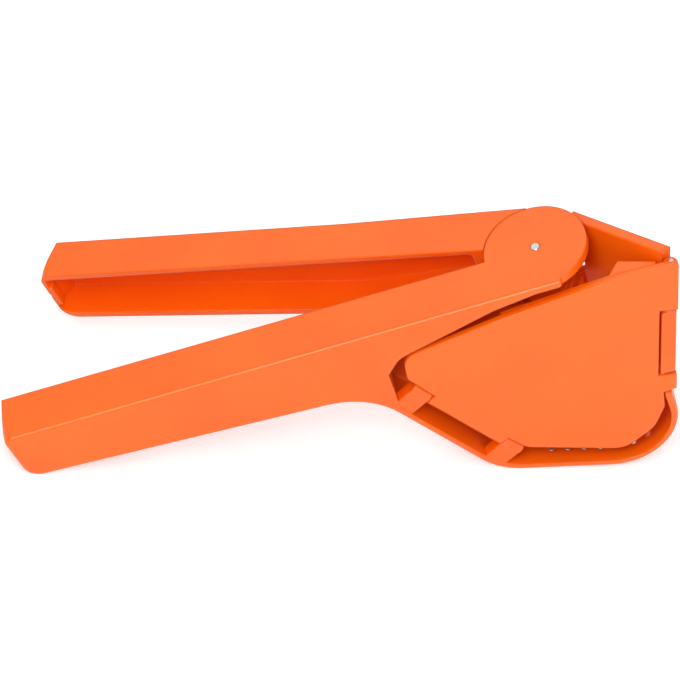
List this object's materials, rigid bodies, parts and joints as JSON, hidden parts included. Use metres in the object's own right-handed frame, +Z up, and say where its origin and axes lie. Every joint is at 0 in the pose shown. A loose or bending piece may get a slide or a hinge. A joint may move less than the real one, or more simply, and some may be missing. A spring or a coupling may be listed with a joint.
{
  "type": "lemon squeezer",
  "caption": "Hinged citrus squeezer: long channel grips, a drained tray, and a press plate on a slanted hinge that a side link draws in as the grips close",
  "frame": {"origin": "centre of the bounding box in x and y, at the level that the tray and the front grip's tip stand on", "axes": "+Z up as it stands on its tray and on the front grip's tip, +X along the tool from the grip tips to the tray, -Y out of the press plate's face"},
  "size_m": [0.2674, 0.094, 0.1176],
  "materials": {
    "orange_plastic": "smooth moulded, satin gloss",
    "pin_steel": "drawn wire"
  },
  "bodies": {
    "front_lever": {"front_lever": "orange_plastic", "lever_pin": "pin_steel", "spine_pin": "pin_steel"},
    "rear_lever": {"rear_lever": "orange_plastic", "link_pin": "pin_steel"},
    "press_plate": {"press_plate": "orange_plastic", "plate_pin": "pin_steel"},
    "side_link": {"side_link": "orange_plastic"}
  },
  "joints": [
    {"name": "grip_hinge", "type": "hinge", "parent": "front_lever", "child": "rear_lever", "pos_m": [0.0687, -0.02502, 0.10231], "axis": [0.3772, 0, -0.9261], "range_deg": [-16, 30]},
    {"name": "plate_hinge", "type": "hinge", "parent": "front_lever", "child": "press_plate", "pos_m": [0.04893, -0.04402, 0.02731], "axis": [0.8101, 0, -0.5863], "range_deg": [-3.5, 6.5]},
    {"name": "link_hinge", "type": "hinge", "parent": "press_plate", "child": "side_link", "pos_m": [0.1238, -0.04402, 0.07076], "axis": [0.1342, 0, -0.991], "range_deg": [-2.1, 3.8]}
  ],
  "couplings": [
    {"joint": "plate_hinge", "follows": "grip_hinge", "ratio": 0.2157},
    {"joint": "link_hinge", "follows": "grip_hinge", "ratio": 0.1242}
  ]
}
